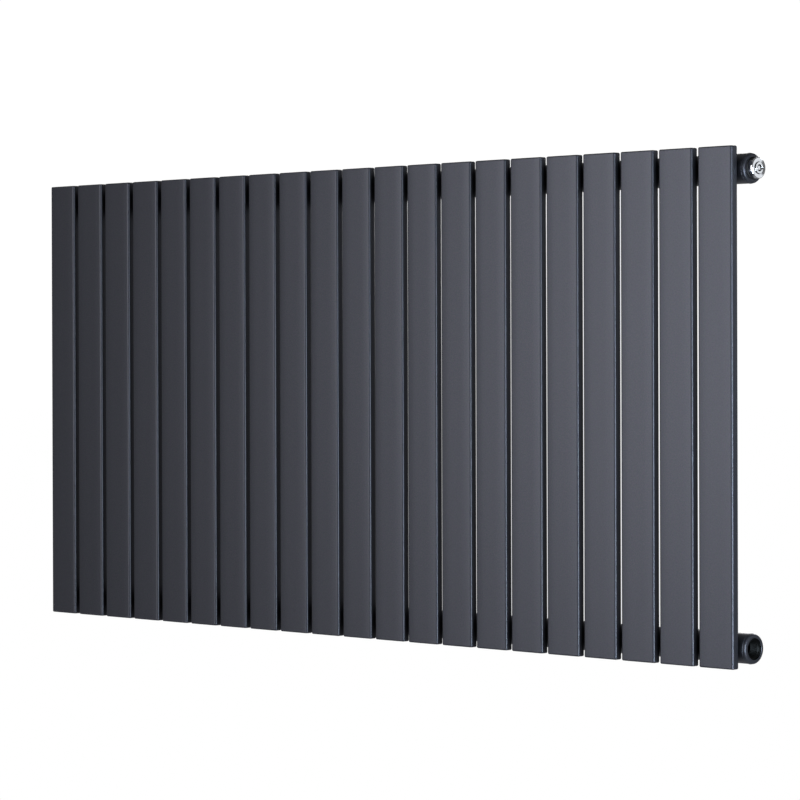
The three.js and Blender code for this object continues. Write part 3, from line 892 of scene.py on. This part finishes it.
def buildBolt(place, spec):
    low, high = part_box("bracket_bolt_" + place)
    centre = Vector((high.x, (low.y + high.y) / 2, (low.z + high.z) / 2))
    length = high.x - low.x
    headEnd = -spec["headLength"]
    edge = spec["headEdge"]
    dish = -spec["headDish"]
    profile = [(dish, spec["centre"]), (dish, spec["crownRadius"] - spec["dishRim"])]
    profile += hexProfile(0, headEnd + edge, spec)
    profile += [(headEnd + edge, spec["washerFace"]), (headEnd, spec["washerFace"]),
                (headEnd, spec["radius"] + spec["fillet"]), (headEnd - edge, spec["radius"])]
    threadStart = spec["threadLength"] - length
    core = spec["radius"] - spec["threadDepth"]
    profile.append((threadStart + spec["threadEnd"], spec["radius"]))
    samples = int(spec["threadLength"] / spec["threadPitch"] * spec["turnSamples"])
    tip = -length + spec["threadEnd"]
    for i in range(samples + 1):
        share = i / samples
        fade = min(1, share / spec["threadFade"])
        reach = spec["radius"] + (core - spec["radius"]) * fade
        profile.append((threadStart + share * (tip - threadStart), reach, fade))
    profile += [(-length, core - spec["fillet"]), (-length, spec["centre"])]
    rings = alongX(centre, 1, profile, outline=boltOutline(spec),
                   thread=(spec["threadPitch"], spec["threadDepth"]))
    points, faces = loft(rings)
    meshPiece("bracketBolt_" + place, points, faces, zincPlate, "wall_fixing", ["bracket_bolt_" + place],
              sharpAngle=30)


def buildNut(place, spec):
    low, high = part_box("bracket_nut_" + place)
    centre = Vector((low.x, (low.y + high.y) / 2, (low.z + high.z) / 2))
    length = high.x - low.x
    bore = spec["nutBore"]
    chamfer = spec["boreChamfer"]
    profile = hexProfile(0, -length + spec["nutWasher"], spec)
    profile += [(-length, spec["crownRadius"] + spec["fillet"]), (-length, bore + chamfer),
                (-length + chamfer, bore), (-chamfer, bore), (0, bore + chamfer)]
    rings = alongX(centre, -1, profile, outline=boltOutline(spec))
    points, faces = loft(rings, closedLoop=True)
    meshPiece("bracketNut_" + place, points, faces, zincPlate, "wall_fixing", ["bracket_nut_" + place],
              sharpAngle=30)


sleeveSpec = {"bore": 4.3 * mm, "edge": 0.4 * mm, "seam": 0.08 * mm, "sides": 72}


def buildSleeve(place, spec):
    # a moulded sleeve, with the fine parting line of its mould on both sides
    low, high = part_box("bracket_sleeve_" + place)
    centre = Vector(((low.x + high.x) / 2, (low.y + high.y) / 2, (low.z + high.z) / 2))
    half = (high.x - low.x) / 2
    radius = (high.z - low.z) / 2
    edge = spec["edge"]
    profile = [(-half, spec["bore"] + edge), (-half, radius - edge)]
    profile += [(x - half + edge, r) for x, r in arcPoints((0, radius - edge), edge, 180, 90, 4)]
    profile += [(x + half - edge, r) for x, r in arcPoints((0, radius - edge), edge, 90, 0, 4)]
    profile += [(half, spec["bore"] + edge), (half - edge, spec["bore"]), (edge - half, spec["bore"])]
    rings = alongX(centre, 1, profile, sides=spec["sides"])
    for ring in rings:
        for i in (0, spec["sides"] // 2):
            outward = Vector((0, ring[i].y - centre.y, ring[i].z - centre.z))
            if outward.length > spec["bore"] + edge:
                ring[i] += outward.normalized() * spec["seam"]
    points, faces = loft(rings, closedLoop=True)
    meshPiece("bracketSleeve_" + place, points, faces, nylon, "wall_fixing", ["bracket_sleeve_" + place],
              sharpAngle=40)


for place in places:
    buildLug(place, lugSpec)
    buildBracket(place, bracketSpec)
    buildRootWelds(place, bracketSpec)
    buildBolt(place, boltSpec)
    buildNut(place, boltSpec)
    buildSleeve(place, sleeveSpec)
print("lugs and wall brackets built")


cameraSpec = {
    "place": (2.933, -2.9503, 0.0629), "turn": 44.875, "down": 0.28, "roll": -0.175,
    "lens": 144.39, "shift": -0.0367,
}


def buildCamera(spec):
    data = bpy.data.cameras.new("studioCamera")
    data.lens = spec["lens"]
    data.shift_y = spec["shift"]
    data.clip_end = 200
    camera = bpy.data.objects.new("studioCamera", data)
    turn = Matrix.Rotation(math.radians(spec["turn"]), 4, "Z")
    tilt = Matrix.Rotation(math.radians(90 - spec["down"]), 4, "X")
    roll = Matrix.Rotation(math.radians(spec["roll"]), 4, "Z")
    camera.matrix_world = Matrix.Translation(spec["place"]) @ turn @ tilt @ roll
    scene.collection.objects.link(camera)
    scene.camera = camera


buildCamera(cameraSpec)

floorSpec = {"level": -1.2, "half": 60.0, "seen": "#ffffff", "colour": "#8a8a8c", "lift": 0.18}


def buildFloor(spec):
    # a white floor: it looks evenly white, and gives the radiator only the dim light of a shaded one
    half = spec["half"]
    mesh = bpy.data.meshes.new("studioFloor")
    mesh.from_pydata([(-half, -half, 0), (half, -half, 0), (half, half, 0), (-half, half, 0)], [],
                     [(0, 1, 2, 3)])
    floor = bpy.data.objects.new("studioFloor", mesh)
    floor.location = (0, 0, spec["level"])
    material, tree, shader, _ = newMaterial("paintedStudioFloor")
    shader.inputs["Base Color"].default_value = hexToLinear(spec["colour"])
    shader.inputs["Roughness"].default_value = 0.9
    shader.inputs["Specular IOR Level"].default_value = 0.0
    shader.inputs["Emission Color"].default_value = (1, 1, 1, 1)
    shader.inputs["Emission Strength"].default_value = spec["lift"]
    white = addNode(tree, "ShaderNodeEmission", Color=hexToLinear(spec["seen"]), Strength=1.0)
    rays = addNode(tree, "ShaderNodeLightPath")
    shown = addNode(tree, "ShaderNodeMixShader", n0=rays.outputs["Is Camera Ray"], n1=shader.outputs["BSDF"],
                    n2=white.outputs["Emission"])
    output = tree.nodes["Material Output"]
    tree.links.new(shown.outputs["Shader"], output.inputs["Surface"])
    mesh.materials.append(material)
    scene.collection.objects.link(floor)


buildFloor(floorSpec)

lightSpec = {
    "leftSoftbox": {"place": (-1.0, -2.6, 0.5), "size": (1.6, 1.8), "watts": 27.5, "tint": "#ffffff"},
    "leftLow": {"place": (-1.2, -2.4, -0.5), "size": (1.2, 1.0), "watts": 3.2, "tint": "#ffffff"},
    "rightStrip": {"place": (1.6, -0.7, -0.2), "size": (0.3, 1.0), "watts": 20, "tint": "#e6f4ff"},
    "frontFill": {"place": (1.3, -3.2, 0.2), "size": (1.4, 1.6), "watts": 3, "tint": "#ffffff"},
    "ventCard": {"place": (1.92, 1.725, 0.42), "size": (0.6, 0.8), "watts": 1.3, "tint": "#f8fcff"},
    "wallSide": {"place": (-0.9, 3.0, 1.0), "size": (1.8, 1.4), "watts": 40, "tint": "#ffffff"},
    "backRim": {"place": (2.9, 0.75, 0.6), "size": (0.8, 1.6), "watts": 4, "tint": "#f1fcff"},
}


lightAim = Vector((0, -0.08, 0))


def buildLight(name, spec):
    data = bpy.data.lights.new(name, "AREA")
    data.shape = "RECTANGLE"
    data.size, data.size_y = spec["size"]
    data.energy = spec["watts"]
    data.color = hexToLinear(spec["tint"])[:3]
    light = bpy.data.objects.new(name, data)
    place = Vector(spec["place"])
    light.location = place
    light.rotation_euler = (lightAim - place).to_track_quat("-Z", "Y").to_euler()
    scene.collection.objects.link(light)


for name, spec in lightSpec.items():
    buildLight(name, spec)

roomSpec = {"seen": 1.02, "bounced": 0.05, "reflected": 0.18, "tint": "#ffffff"}


def buildRoom(spec):
    # a white room; what glossy surfaces pick up from it is dimmer, as from black flags round a set
    world = bpy.data.worlds.new("studioRoom")
    world.use_nodes = True
    tree = world.node_tree
    tree.nodes.clear()
    rays = addNode(tree, "ShaderNodeLightPath")
    soft = addNode(tree, "ShaderNodeMix", n0=rays.outputs["Is Diffuse Ray"], n2=spec["reflected"],
                   n3=spec["bounced"])
    level = addNode(tree, "ShaderNodeMix", n0=rays.outputs["Is Camera Ray"], n2=soft.outputs[0],
                    n3=spec["seen"])
    glow = addNode(tree, "ShaderNodeBackground", Color=hexToLinear(spec["tint"]), Strength=level.outputs[0])
    addNode(tree, "ShaderNodeOutputWorld", Surface=glow.outputs["Background"])
    scene.world = world


buildRoom(roomSpec)
scene.view_settings.view_transform = "Standard"
print("camera, floor and lights set")
